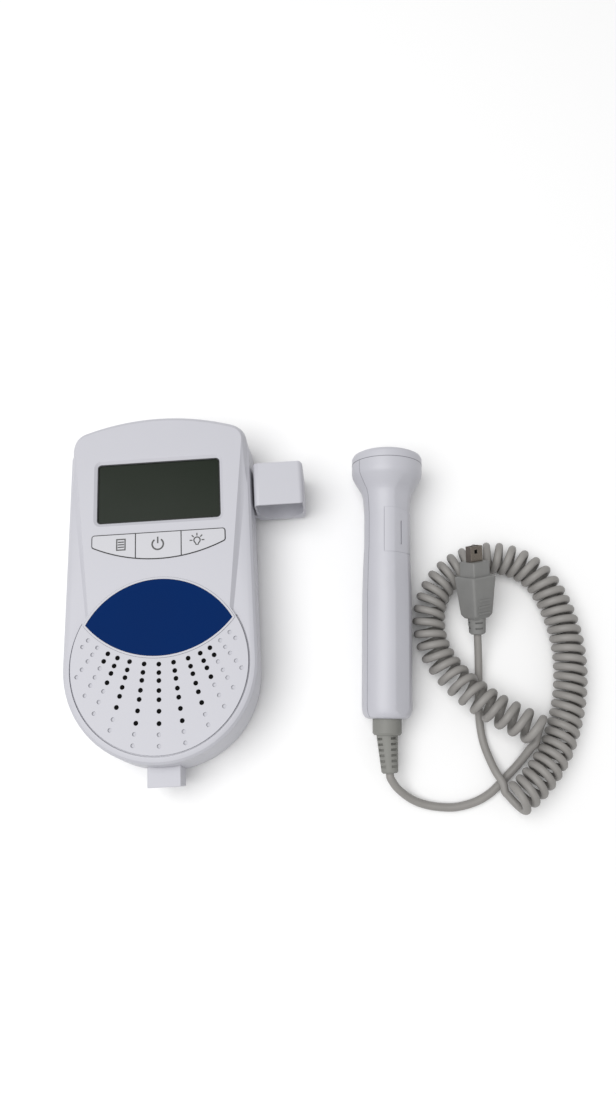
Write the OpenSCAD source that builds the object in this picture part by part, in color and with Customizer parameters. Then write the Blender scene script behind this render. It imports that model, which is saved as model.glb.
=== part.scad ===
/* [Case] */
// Width across the round foot
case_w = 73; // [70:0.5:76]
// Length from the foot to the top of the head arch
case_len = 135; // [132:0.5:138]
// Height of the face above the rear
face_z = 26; // [25.5:0.1:27]
// Height of the joint between the two covers
split_z = 13; // [12.5:0.1:13.5]
// Wall of the covers
wall = 2.2; // [2:0.05:2.4]
// Round on the outer edges
edge_r = 2.4; // [1.5:0.1:3]
// Width across the flanks at their upper end
flank_w = 71.4; // [70:0.2:72]
// Distance from the flanks' upper end to the top of the head arch
head_run = 12.5; // [10:0.5:14]
// How far the flanks lie below the face at their upper end
flank_drop = 2.6; // [2:0.1:4]
// How far the foot stands out at the rear
foot_lean = 3; // [0:0.1:4]
// How far the flanks' upper ends stand out at the rear
side_lean = 0.6; // [0:0.1:1]
// Radius of the head arch
arch_r = 94; // [80:1:100]
// Radius of the two head corners
head_corner_r = 7; // [6:0.5:9]
// Width of the head
head_w = 69.4; // [68:0.2:70.5]

/* [Face] */
// Width of the raised panel at the upper end of the flanks
panel_head_w = 67.4; // [64:0.2:68]
// Width of the raised panel at the badge's tips
panel_tip_w = 54.4; // [53:0.2:56]
// Run of the panel's sloped sides
panel_slope = 3; // [1:0.1:3.4]
// Width of the rim round the grille disc
rim_w = 3.5; // [3:0.1:4]
// Width of the groove round the grille disc
groove_w = 0.6; // [0.4:0.1:0.9]
// Depth of that groove
groove_depth = 0.9; // [0.5:0.1:1.2]
// Width of the display window
window_w = 48.3; // [46:0.1:49]
// Height of the display window
window_h = 24.5; // [23:0.1:25]
// Distance from the middle of the case to the middle of the window
window_y = 36.2; // [36:0.1:37.2]
// Depth of the window below the face
window_depth = 1.2; // [0.8:0.1:1.3]
// Thickness of the window pane
pane_t = 1.0; // [0.8:0.05:1]
// How far the badge's upper arc lies inside the disc's edge
badge_in = 1.4; // [1:0.1:2]
// Radius of the lower arc of the badge
badge_low_r = 36; // [35:0.1:37]
// Depth of the badge's seat
badge_depth = 0.5; // [0.3:0.05:0.7]
// Width of the raised rim round the badge
badge_rim_w = 0.8; // [0.5:0.1:1]
// Distance from the disc's lower end to the grille fan's centre
fan_reach = 71.7; // [71:0.1:72.5]
// Diameter of a grille hole
grille_hole_d = 1.8; // [1.4:0.1:2]

/* [Buttons] */
// Width of the button group
buttons_w = 51; // [49:0.2:52]
// Distance from the middle of the case to the straight edge of the buttons
buttons_top = 19; // [18.6:0.1:19.4]
// Height of the button group at its ends
buttons_end_h = 4.4; // [4:0.1:5]
// Height of the button group in the middle
buttons_mid_h = 10.1; // [9:0.1:10.3]
// Distance from the middle to the joint between two buttons
button_joint_x = 8.8; // [8:0.1:9.5]
// Gap round a button
button_gap = 0.4; // [0.25:0.05:0.5]
// Travel of a button
button_travel = 0.8; // [0.5:0.05:0.9]

/* [Holder] */
// Length of the holder along the probe
holder_len = 17.4; // [15:0.2:20]
// Wall of the holder
holder_wall = 0.8; // [0.8:0.05:1.2]
// Clearance of the probe's neck in the holder
holder_clear = 0.1; // [0.1:0.05:0.25]
// Distance from the middle of the case to the holder's lower edge
holder_y = 28.4; // [26:0.1:30]

/* [Probe] */
// Length of the probe without its collar
probe_len = 104; // [102:0.5:106]
// Diameter of the probe's head
probe_head_d = 27.9; // [27:0.1:28.5]
// Diameter of the probe's body
probe_body_d = 19.1; // [18.6:0.1:19.6]
// Diameter of the probe's neck
probe_neck_d = 17.8; // [17.2:0.1:18.2]
// Wall of the probe's shells
probe_wall = 1.8; // [1.5:0.05:2]
// Length of the strain relief
relief_len = 14; // [12:0.5:16]
// Diameter of the collar
collar_d = 10.9; // [10.6:0.1:12]
// Length of the collar
collar_len = 6; // [5:0.2:7]

/* [Cord] */
// Diameter of the cord
cord_d = 3; // [2.7:0.05:3.05]
// Outer diameter of the curls
coil_od = 12.7; // [12.2:0.1:12.8]

/* [Plug] */
// Length of the plug's grip
plug_len = 16.2; // [15:0.2:17]
// Width of the plug's nose
nose_w = 8.6; // [8.4:0.1:9]
// Thickness of the plug's nose
nose_t = 7.7; // [7.4:0.1:8]
// Clearance of the plug's nose in the socket
socket_clear = 0.15; // [0.1:0.05:0.2]

/* [Hidden] */
$fn = 48;
eps = 0.01;
fit = 0.1;
foot_y = case_w / 2 - case_len / 2;
foot_end = -case_len / 2;
head_end = case_len / 2;
flank_end = head_end - head_run;
disc_r = case_w / 2 - rim_w;
disc_end = foot_y - disc_r;
fan_y = disc_end + fan_reach;
badge_up_r = disc_r - badge_in;
badge_tip_y = foot_y + (pow(fan_y - foot_y, 2) + pow(badge_up_r, 2) - pow(badge_low_r, 2)) / (2 * (fan_y - foot_y));
tip_y = badge_tip_y + 2.5;
head_half = min(head_w / 2, panel_head_w / 2 + panel_slope);
head_corner_y = head_end - arch_r + sqrt(pow(arch_r - head_corner_r, 2) - pow(head_half - head_corner_r, 2));
flank_tilt = atan(flank_drop / (flank_end - disc_end));
ceiling_z = face_z - wall;
flank_ceiling_z = face_z - flank_drop - wall;
panel_side = (panel_head_w - panel_tip_w) / 2 / (flank_end - tip_y);
// Half of the case's width across the flanks
function flank_half(y) = case_w / 2 + (flank_w - case_w) / 2 * (y - foot_y) / (flank_end - foot_y);
shell_white = [0.87, 0.87, 0.90];
cord_grey = [0.60, 0.59, 0.57];
nickel = [0.68, 0.66, 0.62];

// Grille: rings about the fan's centre, and columns as [angle, holes through, holes with dimples]
grille_rings = [39.1, 42.2, 45.1, 48.7, 52, 56.1, 60.5, 64.4, 68.4];
grille_columns = [[0, 7, 9], [8, 7, 9], [16.1, 6, 8], [23.1, 4, 7], [29, 2, 6], [35.8, 0, 5], [42.5, 0, 2]];

// Battery bay for two AA cells
cell_d = 14.2;
cell_len = 50.5;
cell_pitch = cell_d + 1;
door_t = 1.6;
bay_w = cell_pitch + cell_d + 1.2;
bay_hi = head_end - 8.4;
contact_t = 0.4;
spring_run = 3.2;
bay_lo = bay_hi - 2 * contact_t - spring_run - cell_len;
bay_roof = door_t + 0.1 + cell_d + 0.4;
bay_wall = 1.1;
cell_z = door_t + 0.2 + cell_d / 2;
door_w = bay_w + 3;
door_lo = bay_lo - 1.7;
door_lip = 1.2;

// Loudspeaker
speaker_y = foot_y - 9;
speaker_r = 18;
speaker_flange = 1.2;
gasket_t = 0.6;

// Main board and what stands on it
board_lo_z = bay_roof + bay_wall + 0.2;
board_t = 1.4;
board_z = board_lo_z + board_t;
board_w = case_w - 10;
board_lo = speaker_y + speaker_r + 9.5;
board_hi = head_end - 14.5;

// Screws and their posts
screw_r = 1.2;
board_screw_r = 0.85;
board_screw_grip = 2.2;
post_r = 3;
foot_post_r = case_w / 2 - 6.2;
foot_post_turn = 53.6;
post_places = [for (s = [-1, 1], p = [
    [foot_post_r * sin(foot_post_turn), foot_y - foot_post_r * cos(foot_post_turn)],
    [head_half - 6.5, head_end - 11.5]
]) [s * p[0], p[1]]];
board_posts = [for (s = [-1, 1], y = [board_lo + 3.5, 20.5]) [s * (board_w / 2 - 3.1), y]];

// Volume wheel
wheel_r = 7.6;
wheel_t = 3;
wheel_y = 30;
wheel_out = 1.8;
wheel_x = wheel_r - wheel_out - flank_half(wheel_y);
wheel_shaft_r = 1.5;

// Headphone jack
jack_x = -21.6;
jack_bore_r = 1.8;
jack_nose_r = 2.9;
jack_w = 6;
jack_h = 7.2;
jack_len = 12;

// Probe socket in its shroud at the foot
socket_w = nose_w + 3.7;
socket_t = nose_t + 2.4;
socket_out = 7.5;
socket_len = 13.6;

// Holder and its rail
holder_x = max(case_w, flank_w) / 2 + 0.4;
holder_inner = probe_neck_d + 2 * holder_clear;
holder_hi_z = holder_inner + 2 * holder_wall + 3.6;
holder_lo_z = holder_hi_z - holder_inner - 2 * holder_wall;
rail_z = 8;
rail_neck = 3;
rail_head = 6;
rail_t = 1.2;

// Probe: its lower end, its lie and the places along it
probe_at = [82.75, -54.8, 9.65];
probe_yaw = 4.3;
probe_pitch = 2.6;
probe_roll = 37;
probe_facet = 0.953;
head_seam = probe_len - 4.5;
flare_lo = head_seam - 19;
neck_lo = head_seam - 33;
pad_lo = 62.7;
pad_hi = 80.3;
pad_w = 13;
pad_rise = 0.3;
slot_len = 9.5;
pcb_t = 1.2;

// Plug: its rear end, its lie and the places along it
plug_at = [119.9, -24.6, 9.6];
plug_yaw = 0;
plug_pitch = 22;
plug_roll = 35;
plug_relief_len = 6.3;
nose_len = 5.5;
shell_len = 6;
shell_w = 6;
shell_t = 2.8;
shell_wall = 0.35;
tongue_t = 0.8;

collar_end = probe_at - collar_len * dir(probe_pitch, probe_yaw);
relief_yaw = 0;
relief_seat = 0.3;
relief_r = 4;
relief_root = relief_seat + relief_r * sin(probe_yaw - relief_yaw) + 0.05;

function dir(pitch, yaw) = [sin(yaw) * cos(pitch), cos(yaw) * cos(pitch), sin(pitch)];
function unit(v) = v / norm(v);
function total(list, n) = n == 0 ? 0 : list[n - 1] + total(list, n - 1);

// Curly cord: the axis of the curls is a chain of arcs, each [curls, bend in degrees, spacing of
// the curls along the inside of the bend]. It starts at coil_start, heading coil_heading.
coil_start = [138.5, -63];
coil_heading = 149;
coil_arcs = [
    [3, -1, 5.2],
    [6, -29, 4.4],
    [6, -54, 3.6],
    [7, -68, 3.45],
    [6, -63, 3.45],
    [7, -25, 3.5],
    [8, -24, 3.5],
    [8, -34, 3.6]
];
// Where the curls ride up over a lead or another curl: [curl, half width in curls, height]
coil_rises = [[0, 9, 6.5], [5.2, 4, 1.5], [51, 10, 3.6]];
coil_r = (coil_od - cord_d) / 2;
coil_rest_z = coil_od / 2 + 0.05;
coil_steps = 8;
coil_sides = 6;
coil_curls = total([for (a = coil_arcs) a[0]], len(coil_arcs));

function arc_len(a) = a[0] * a[2] + abs(a[1]) * PI / 180 * coil_r;
// Place and heading after a share f of the arc a, from the place and heading s = [x, y, heading]
function along_arc(s, a, f) =
    let (r = arc_len(a) / (a[1] * PI / 180), h = s[2] + a[1] * f)
    [s[0] + r * (sin(h) - sin(s[2])), s[1] - r * (cos(h) - cos(s[2])), h];
function arc_start(k) =
    k == 0 ? [coil_start[0], coil_start[1], coil_heading] : along_arc(arc_start(k - 1), coil_arcs[k - 1], 1);
arc_starts = [for (k = [0 : len(coil_arcs) - 1]) arc_start(k)];
arc_curl = [for (k = [0 : len(coil_arcs) - 1]) total([for (a = coil_arcs) a[0]], k)];
function arc_at(t) = max([for (k = [0 : len(coil_arcs) - 1]) if (k == 0 || t >= arc_curl[k]) k]);
function rise(t) = total([for (b = coil_rises) abs(t - b[0]) < b[1] ? b[2] * (1 + cos(180 * (t - b[0]) / b[1])) / 2 : 0],
    len(coil_rises));
// Point of the curls' axis after t curls
function axis_at(t) =
    let (k = arc_at(t), p = along_arc(arc_starts[k], coil_arcs[k], (t - arc_curl[k]) / coil_arcs[k][0]))
    [p[0], p[1], coil_rest_z + rise(t)];
// Frame of the axis after t curls: [forward, left, up]
function axis_frame(t) =
    let (f = unit(axis_at(t + 0.02) - axis_at(t - 0.02)), l = unit(cross([0, 0, 1], f)))
    [f, l, cross(f, l)];
// Direction from the axis to the cord: it starts and ends at the lowest point
function outward(t) = let (m = axis_frame(t)) -cos(360 * t - 90) * m[1] + sin(360 * t - 90) * m[2];
function cord_at(t) = axis_at(t) + coil_r * outward(t);
function cord_dir(t) = unit(cord_at(t + 0.01) - cord_at(t - 0.01));
coil_in = cord_at(0) - cord_d * cord_dir(0);
coil_out = cord_at(coil_curls) + cord_d * cord_dir(coil_curls);

// Leads: points chosen along their route, and their ends taken from what they meet
relief_end = collar_end - (relief_len - relief_seat) * dir(probe_pitch, relief_yaw);
probe_lead_points = [
    [83.1, -77.6, 7.8], [84.4, -79.6, 6.5], [86.5, -81.7, 5], [89.2, -83.8, 3.5], [92.5, -85.6, 2.4],
    [96.4, -86.9, 1.8], [100.8, -87.7, 1.6], [105.6, -88, 1.6], [110.6, -87.3, 1.6], [115.2, -85.9, 1.6],
    [119.4, -83.7, 1.6],
    [123.3, -80.7, 1.6], [127, -77.4, 1.7], [130.4, -74.2, 2.8], [133.2, -71, 4.9], [135.4, -68.2, 7]
];
plug_lead_points = [
    [124, -80.2, 5.2], [121.9, -76, 4.4], [120.3, -71, 2.8], [119.1, -66, 1.8], [118.5, -61, 1.6],
    [118.4, -56, 1.6], [118.8, -50.8, 1.7], [119.2, -45.6, 2.3], [119.6, -40.4, 3.5], [119.8, -35.2, 5.3],
    [119.9, -30.2, 7.3]
];
lead_sides = 8;

function ring(at, u, v, r, n) = [for (k = [0 : n - 1]) at + r * (cos(360 * k / n) * u + sin(360 * k / n) * v)];
// Triangles of a closed tube of m rings with n points each
function tube_faces(m, n) = concat(
    [for (k = [1 : n - 2]) [0, k, k + 1]],
    [for (i = [0 : m - 2], k = [0 : n - 1], h = [0, 1])
        let (a = i * n + k, b = i * n + (k + 1) % n)
        h == 0 ? [a, a + n, b] : [b, a + n, b + n]],
    [for (k = [1 : n - 2]) [(m - 1) * n, (m - 1) * n + k + 1, (m - 1) * n + k]]
);

// ---- shapes that several pieces share ----

module rounded_rect(w, h, r) {
    square([w - 2 * r, h], center = true);
    square([w, h - 2 * r], center = true);
    for (x = [-1, 1], y = [-1, 1])
        translate([x * (w / 2 - r), y * (h / 2 - r)]) circle(r);
}

// Block from the corner lo to the corner hi
module block(lo, hi) {
    translate(lo) cube(hi - lo);
}

// One level of the flanks and the round foot, drawn in by inset; low is its share of the way down
module flank_level(inset, low) {
    corner = 2.5;
    translate([0, foot_y - foot_lean * low])
        cylinder(r = case_w / 2 - inset - foot_lean * low * 0.15, h = eps, $fn = 72);
    for (s = [-1, 1])
        translate([s * (flank_w / 2 + side_lean * low - corner), flank_end - corner])
            cylinder(r = corner - inset, h = eps, $fn = 24);
}

// One level of the head, with its sides and its arch drawn in by amounts of their own
module head_level(side_in, arch_in, tall = eps) {
    top_w = panel_head_w / 2 + panel_side * (head_end - flank_end);
    low_w = panel_tip_w / 2 - panel_side * (tip_y - foot_y);
    linear_extrude(tall)
        offset(r = head_corner_r - arch_in, $fn = 32)
            offset(delta = arch_in - head_corner_r)
                intersection() {
                    translate([0, head_end - arch_r]) circle(arch_r - arch_in, $fn = 180);
                    square([2 * head_half - 2 * max(side_in, 0) * 0.6, 3 * case_len], center = true);
                    polygon([[-top_w + side_in, head_end], [top_w - side_in, head_end],
                        [low_w - side_in, foot_y], [side_in - low_w, foot_y]]);
                }
}

// Puts a level on the sloped plane of the flanks, or below it
module on_flanks(depth) {
    translate([0, disc_end, face_z - depth]) rotate([-flank_tilt, 0, 0])
        translate([0, -disc_end, 0]) children();
}

module case_inside(inset) {
    translate([0, foot_y]) circle(case_w / 2 - inset, $fn = 72);
    polygon([[-case_w / 2 + inset, foot_y], [case_w / 2 - inset, foot_y],
        [flank_w / 2 - inset, flank_end - inset], [inset - flank_w / 2, flank_end - inset]]);
    intersection() {
        translate([0, head_end - arch_r]) circle(arch_r - inset, $fn = 180);
        translate([head_corner_r - head_half, 0]) square([2 * (head_half - head_corner_r), head_end]);
    }
    for (s = [-1, 1]) translate([s * (head_half - head_corner_r), head_corner_y])
        circle(head_corner_r - inset);
    translate([inset - head_half, flank_end - 2 * inset])
        square([2 * (head_half - inset), head_corner_y - flank_end + 2 * inset]);
}

module panel_inside(inset) {
    translate([0, foot_y]) circle(disc_r - inset, $fn = 72);
    polygon([[-panel_tip_w / 2 + inset, tip_y - 8], [panel_tip_w / 2 - inset, tip_y - 8],
        [panel_head_w / 2 - inset, flank_end], [inset - panel_head_w / 2, flank_end]]);
    intersection() {
        translate([0, head_end - arch_r]) circle(arch_r - inset - edge_r / 2, $fn = 180);
        translate([inset + 7 - panel_head_w / 2, 0]) square([panel_head_w - 2 * inset - 14, head_end]);
    }
}

// Outline of the whole button group: straight above, an arc below, upright ends
module boat(grow) {
    corner = 0.8;
    sag = buttons_mid_h - buttons_end_h;
    arc_r = (pow(buttons_w / 2, 2) + sag * sag) / (2 * sag);
    offset(r = corner + grow, $fn = 32) offset(delta = -corner) intersection() {
        translate([-buttons_w / 2, buttons_top - buttons_mid_h]) square([buttons_w, buttons_mid_h]);
        translate([0, buttons_top - buttons_mid_h + arc_r]) circle(arc_r, $fn = 240);
    }
}

module badge_outline(grow) {
    intersection() {
        translate([0, foot_y]) circle(badge_up_r + grow, $fn = 120);
        translate([0, fan_y]) circle(badge_low_r + grow, $fn = 120);
    }
}

// Places its children at the grille's spots; through picks the open holes or the dimples
module grille(through) {
    for (c = grille_columns, s = (c[0] == 0 ? [1] : [-1, 1]))
        for (i = through ? [0 : 1 : c[1] - 1] : [c[1] : 1 : c[2] - 1])
            translate([s * grille_rings[i] * sin(c[0]), fan_y - grille_rings[i] * cos(c[0]), 0])
                children();
}

module socket_opening() {
    translate([0, foot_end, split_z])
        cube([socket_w + 2 * fit, 4 * wall, socket_t + 2 * fit], center = true);
}

module jack_opening() {
    translate([jack_x, head_end + 1, split_z]) rotate([90, 0, 0]) cylinder(r = jack_nose_r + fit, h = 12);
}

module wheel_opening() {
    translate([wheel_x, wheel_y, split_z])
        cylinder(r = wheel_r + 0.5, h = wheel_t + 0.8, center = true);
}

// ---- covers ----

module front_cover() {
    color(shell_white) difference() {
        // a resize that keeps every size, so the flanks, the head and the disc become one skin
        resize([0, 0, 0]) union() {
            hull() {
                translate([0, 0, split_z]) flank_level(0, 1 - split_z / face_z);
                for (a = [0 : 30 : 90])
                    on_flanks(edge_r * (1 - sin(a))) flank_level(edge_r * (1 - cos(a)), 0);
            }
            hull() {
                translate([0, 0, split_z]) head_level(-panel_slope, 0, face_z - flank_drop - 0.4 - split_z);
                translate([0, 0, face_z - edge_r]) head_level(-0.4, 0.05);
                translate([0, 0, face_z - edge_r * 0.4]) head_level(0, edge_r * 0.25);
                translate([0, 0, face_z - eps]) head_level(0.7, edge_r * 0.8);
            }
            translate([0, foot_y, face_z - flank_drop]) cylinder(r = disc_r, h = flank_drop, $fn = 120);
            translate([0, 0, face_z - eps]) linear_extrude(0.2) badge_outline(badge_rim_w);
        }
        translate([0, 0, split_z - eps]) linear_extrude(flank_ceiling_z - split_z) case_inside(wall);
        translate([0, 0, split_z]) linear_extrude(ceiling_z - split_z) panel_inside(wall + 0.6);
        intersection() {
            on_flanks(groove_depth) translate([0, foot_y, 0]) difference() {
                cylinder(r = disc_r + groove_w, h = wall, $fn = 120);
                cylinder(r = disc_r - 0.05, h = wall, $fn = 120);
            }
            block([-case_w, foot_end, 0], [case_w, badge_tip_y + 1, 2 * face_z]);
        }
        translate([0, 0, face_z - badge_depth]) linear_extrude(wall) badge_outline(fit);
        translate([0, window_y, split_z]) linear_extrude(face_z) rounded_rect(window_w, window_h, 1.6);
        hull() {
            translate([0, window_y, face_z - 0.6]) linear_extrude(eps) rounded_rect(window_w, window_h, 1.6);
            translate([0, window_y, face_z]) linear_extrude(eps) rounded_rect(window_w + 2.4, window_h + 2.4, 2.8);
        }
        translate([0, window_y, split_z]) linear_extrude(face_z - window_depth - split_z)
            rounded_rect(window_w + 3, window_h + 3, 1.6);
        translate([0, 0, split_z]) linear_extrude(face_z) boat(button_gap);
        translate([0, 0, split_z]) grille(true) cylinder(d = grille_hole_d, h = face_z);
        translate([0, 0, face_z - 0.6]) grille(false) cylinder(d = grille_hole_d - 0.2, h = wall);
        for (p = board_posts) translate([p[0], p[1], board_z - 1])
            cylinder(r = board_screw_r + 0.02, h = board_screw_grip + 1.4);
        socket_opening();
        jack_opening();
        wheel_opening();
    }
    color(shell_white) for (p = post_places) translate([p[0], p[1], split_z + 0.3]) difference() {
        cylinder(r = post_r, h = flank_ceiling_z - split_z);
        translate([0, 0, -1]) cylinder(r = screw_r + 0.02, h = 7.6);
    }
    color(shell_white) for (p = board_posts) translate([p[0], p[1], board_z]) difference() {
        cylinder(r = 2.2, h = flank_ceiling_z - board_z + 0.5);
        translate([0, 0, -1]) cylinder(r = board_screw_r + 0.02, h = board_screw_grip + 1.4);
    }
    color(shell_white) translate([0, speaker_y, ceiling_z - gasket_t - speaker_flange]) difference() {
        cylinder(r = speaker_r + 1.3, h = gasket_t + speaker_flange + 0.3);
        translate([0, 0, -1]) cylinder(r = speaker_r + fit, h = 4);
        // open at both sides, under the outer columns of the grille
        block([-case_w, 1, -1], [case_w, 13.4, 4]);
    }
}

module rear_cover() {
    color(shell_white) difference() {
        union() {
            difference() {
                union() {
                    hull() {
                        flank_level(edge_r * 1.2, 1);
                        translate([0, 0, edge_r * 0.35]) flank_level(edge_r * 0.6, 1);
                        translate([0, 0, edge_r]) flank_level(edge_r * 0.3, 1 - edge_r / face_z);
                        translate([0, 0, split_z - eps]) flank_level(0, 1 - split_z / face_z);
                    }
                    hull() {
                        head_level(edge_r * 1.2 - panel_slope, edge_r * 1.2);
                        translate([0, 0, edge_r * 0.35]) head_level(edge_r * 0.5 - panel_slope, edge_r * 0.5);
                        translate([0, 0, edge_r]) head_level(edge_r * 0.2 - panel_slope, edge_r * 0.2);
                        translate([0, 0, split_z - eps]) head_level(-panel_slope, 0);
                    }
                }
                translate([0, 0, wall]) linear_extrude(split_z) case_inside(wall + 0.5);
            }
            // battery bay, screw sleeves and the block behind the holder's rail
            block([-bay_w / 2 - bay_wall, bay_lo - bay_wall, door_t],
                [bay_w / 2 + bay_wall, bay_hi + bay_wall, bay_roof + bay_wall]);
            for (p = post_places) translate([p[0], p[1], 0.4]) cylinder(r = post_r + 0.4, h = split_z - 0.4);
            block([flank_w / 2 - 6, holder_y - 3, rail_z - rail_head / 2 - 2],
                [flank_w / 2 - 1.2, flank_end - 3.4, rail_z + rail_head / 2 + 1.6]);
        }
        block([-bay_w / 2, bay_lo, -1], [bay_w / 2, bay_hi, bay_roof]);
        block([-door_w / 2 - fit, door_lo - fit, -1], [door_w / 2 + fit, head_end + 1, door_t + fit]);
        block([-door_w / 2 - door_lip - fit, door_lo - fit, 0.7],
            [door_w / 2 + door_lip + fit, head_end + 1, door_t + fit]);
        for (p = post_places) translate([p[0], p[1], 0]) {
            translate([0, 0, -1]) cylinder(r = 2.6, h = 4);
            translate([0, 0, -1]) cylinder(r = screw_r + 0.25, h = split_z + 2);
        }
        rail_slot(fit);
        socket_opening();
        jack_opening();
        wheel_opening();
    }
}

// Slot in the flank that takes the holder's rail, open at its upper end
module rail_slot(grow) {
    block([flank_w / 2 - rail_t * 2 - grow - 0.6, holder_y - grow, rail_z - rail_head / 2 - grow],
        [flank_w / 2 - rail_t + grow - 0.6, head_end, rail_z + rail_head / 2 + grow]);
    block([flank_w / 2 - rail_t * 2, holder_y - grow, rail_z - rail_neck / 2 - grow],
        [case_w, head_end, rail_z + rail_neck / 2 + grow]);
}

module battery_door() {
    grips = 5;
    color(shell_white) difference() {
        intersection() {
            union() {
                block([-door_w / 2, door_lo, 0], [door_w / 2, head_end, door_t]);
                block([-door_w / 2 - door_lip, door_lo, 0.8], [door_w / 2 + door_lip, head_end, door_t]);
            }
            translate([0, head_end - arch_r, -1]) cylinder(r = arch_r - edge_r * 1.2, h = 2 * wall, $fn = 180);
        }
        for (i = [0 : grips - 1])
            block([-7, door_lo + 5 + 2 * i, -1], [7, door_lo + 6 + 2 * i, 0.5]);
    }
}

// ---- display, buttons and badge ----

module lcd_window() {
    color([0.20, 0.22, 0.19, 0.9]) translate([0, window_y, face_z - window_depth - pane_t])
        linear_extrude(pane_t) rounded_rect(window_w + 2.6, window_h + 2.6, 1.4);
}

module lcd_module() {
    lcd_hi = face_z - window_depth - pane_t;
    color([0.33, 0.36, 0.31]) translate([0, window_y, 0]) {
        block([-window_w / 2 - 1.2, -window_h / 2 - 1.4, lcd_hi - 2.2],
            [window_w / 2 + 1.2, window_h / 2 + 1.4, lcd_hi]);
        block([-window_w / 2 - 0.6, -window_h / 2 - 0.6, board_z],
            [window_w / 2 + 0.6, window_h / 2 + 0.6, lcd_hi - 2.2]);
    }
}

module button(x_lo, x_hi) {
    half = button_gap / 2;
    module part_of(grow, side) {
        intersection() {
            boat(grow);
            translate([x_lo + (x_lo < -buttons_w / 2 ? -side : half), 0])
                square([x_hi - x_lo - (x_lo < -buttons_w / 2 ? -side : half)
                    - (x_hi > buttons_w / 2 ? -side : half), 30]);
        }
    }
    mid = (max(x_lo, -buttons_w / 2) + min(x_hi, buttons_w / 2)) / 2 * 0.86;
    color(shell_white) {
        translate([0, 0, ceiling_z - fit]) linear_extrude(wall + fit + 0.25) part_of(0, 1);
        translate([0, 0, ceiling_z - fit - 1]) linear_extrude(1) part_of(1.1, 2);
        translate([mid, buttons_top - buttons_mid_h / 2, switch_top_z() + button_travel + fit])
            cylinder(r = 1.2, h = ceiling_z - switch_top_z() - button_travel - 1);
    }
}

function switch_top_z() = board_z + 1.6;

module menu_button() {
    button(-buttons_w / 2 - 1, -button_joint_x);
}

module power_button() {
    button(-button_joint_x, button_joint_x);
}

module lamp_button() {
    button(button_joint_x, buttons_w / 2 + 1);
}

module badge() {
    color([0, 0.19, 0.41]) translate([0, 0, face_z - badge_depth])
        linear_extrude(badge_depth + 0.05) badge_outline(0);
}

// ---- inside the case ----

module main_board() {
    color([0.10, 0.38, 0.22]) difference() {
        block([-board_w / 2, board_lo, board_lo_z], [board_w / 2, board_hi, board_z]);
        for (p = board_posts) translate([p[0], p[1], 0]) cylinder(r = board_screw_r + 0.25, h = face_z);
        for (p = post_places) translate([p[0], p[1], 0]) cylinder(r = post_r + 1, h = face_z);
        translate([wheel_x, wheel_y, 0]) cylinder(r = wheel_shaft_r + 0.1, h = face_z);
    }
}

module board_chips() {
    color([0.12, 0.12, 0.13]) {
        block([-20, -10, board_z], [-8, 2, board_z + 1.4]);
        block([2, -11, board_z], [10, -3, board_z + 1.2]);
        block([14, -9, board_z], [20, 1, board_z + 1.2]);
    }
}

module tact_switches() {
    ends = (buttons_w / 2 + button_joint_x) / 2 * 0.86;
    for (x = [-ends, 0, ends]) translate([x, buttons_top - buttons_mid_h / 2, board_z]) {
        color([0.75, 0.76, 0.78]) block([-2.2, -2.2, 0], [2.2, 2.2, 1]);
        color([0.1, 0.1, 0.1]) translate([0, 0, 1]) cylinder(r = 1.1, h = 0.6);
    }
}

module board_screws() {
    color(nickel) for (p = board_posts) translate([p[0], p[1], 0]) {
        translate([0, 0, board_lo_z - 1]) cylinder(r = 1.8, h = 1);
        translate([0, 0, board_lo_z - eps]) cylinder(r = board_screw_r, h = board_t + board_screw_grip);
    }
}

module case_screws() {
    color(nickel) for (p = post_places) translate([p[0], p[1], 0]) difference() {
        union() {
            translate([0, 0, 1.4]) cylinder(r = 2.4, h = 1.6);
            translate([0, 0, 3 - eps]) cylinder(r = screw_r, h = split_z + 3.2);
        }
        translate([0, 0, 1]) {
            cube([3, 0.7, 1.6], center = true);
            cube([0.7, 3, 1.6], center = true);
        }
    }
}

module at_speaker() {
    translate([0, speaker_y, ceiling_z - gasket_t - speaker_flange]) children();
}

module speaker_basket() {
    color([0.2, 0.2, 0.21]) at_speaker() rotate_extrude()
        polygon([[15.4, 0], [speaker_r, 0], [speaker_r, speaker_flange], [14.6, speaker_flange],
            [14.6, 0.6], [9.6, -4.4], [3.6, -4.4], [3.6, -5.4], [10.2, -5.4]]);
}

module speaker_cone() {
    color([0.1, 0.1, 0.1]) at_speaker() rotate_extrude()
        polygon([[0, -2.6], [4, -3.4], [13.2, 0.3], [14.5, 0.6], [14.5, 1.1], [13, 0.9], [4, -2.8], [0, -1.8]]);
}

module speaker_magnet() {
    color([0.3, 0.3, 0.31]) at_speaker() difference() {
        translate([0, 0, -9.4]) cylinder(r = 8.8, h = 4);
        translate([0, 0, -7]) cylinder(r = 3.6, h = 4);
    }
}

module speaker_gasket() {
    color([0.15, 0.15, 0.15]) translate([0, speaker_y, ceiling_z - gasket_t]) difference() {
        cylinder(r = speaker_r, h = gasket_t);
        translate([0, 0, -1]) cylinder(r = speaker_r - 2.4, h = 3);
    }
}

module cell() {
    color([0.16, 0.17, 0.19]) rotate([-90, 0, 0]) cylinder(d = cell_d, h = cell_len - 1);
    color(nickel) translate([0, cell_len - 1 - eps, 0]) rotate([-90, 0, 0]) cylinder(r = 2.75, h = 1);
}

module battery_a() {
    translate([-cell_pitch / 2, bay_hi - contact_t - cell_len, cell_z]) cell();
}

module battery_b() {
    translate([cell_pitch / 2, bay_lo + contact_t + cell_len, cell_z]) mirror([0, 1, 0]) cell();
}

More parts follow.
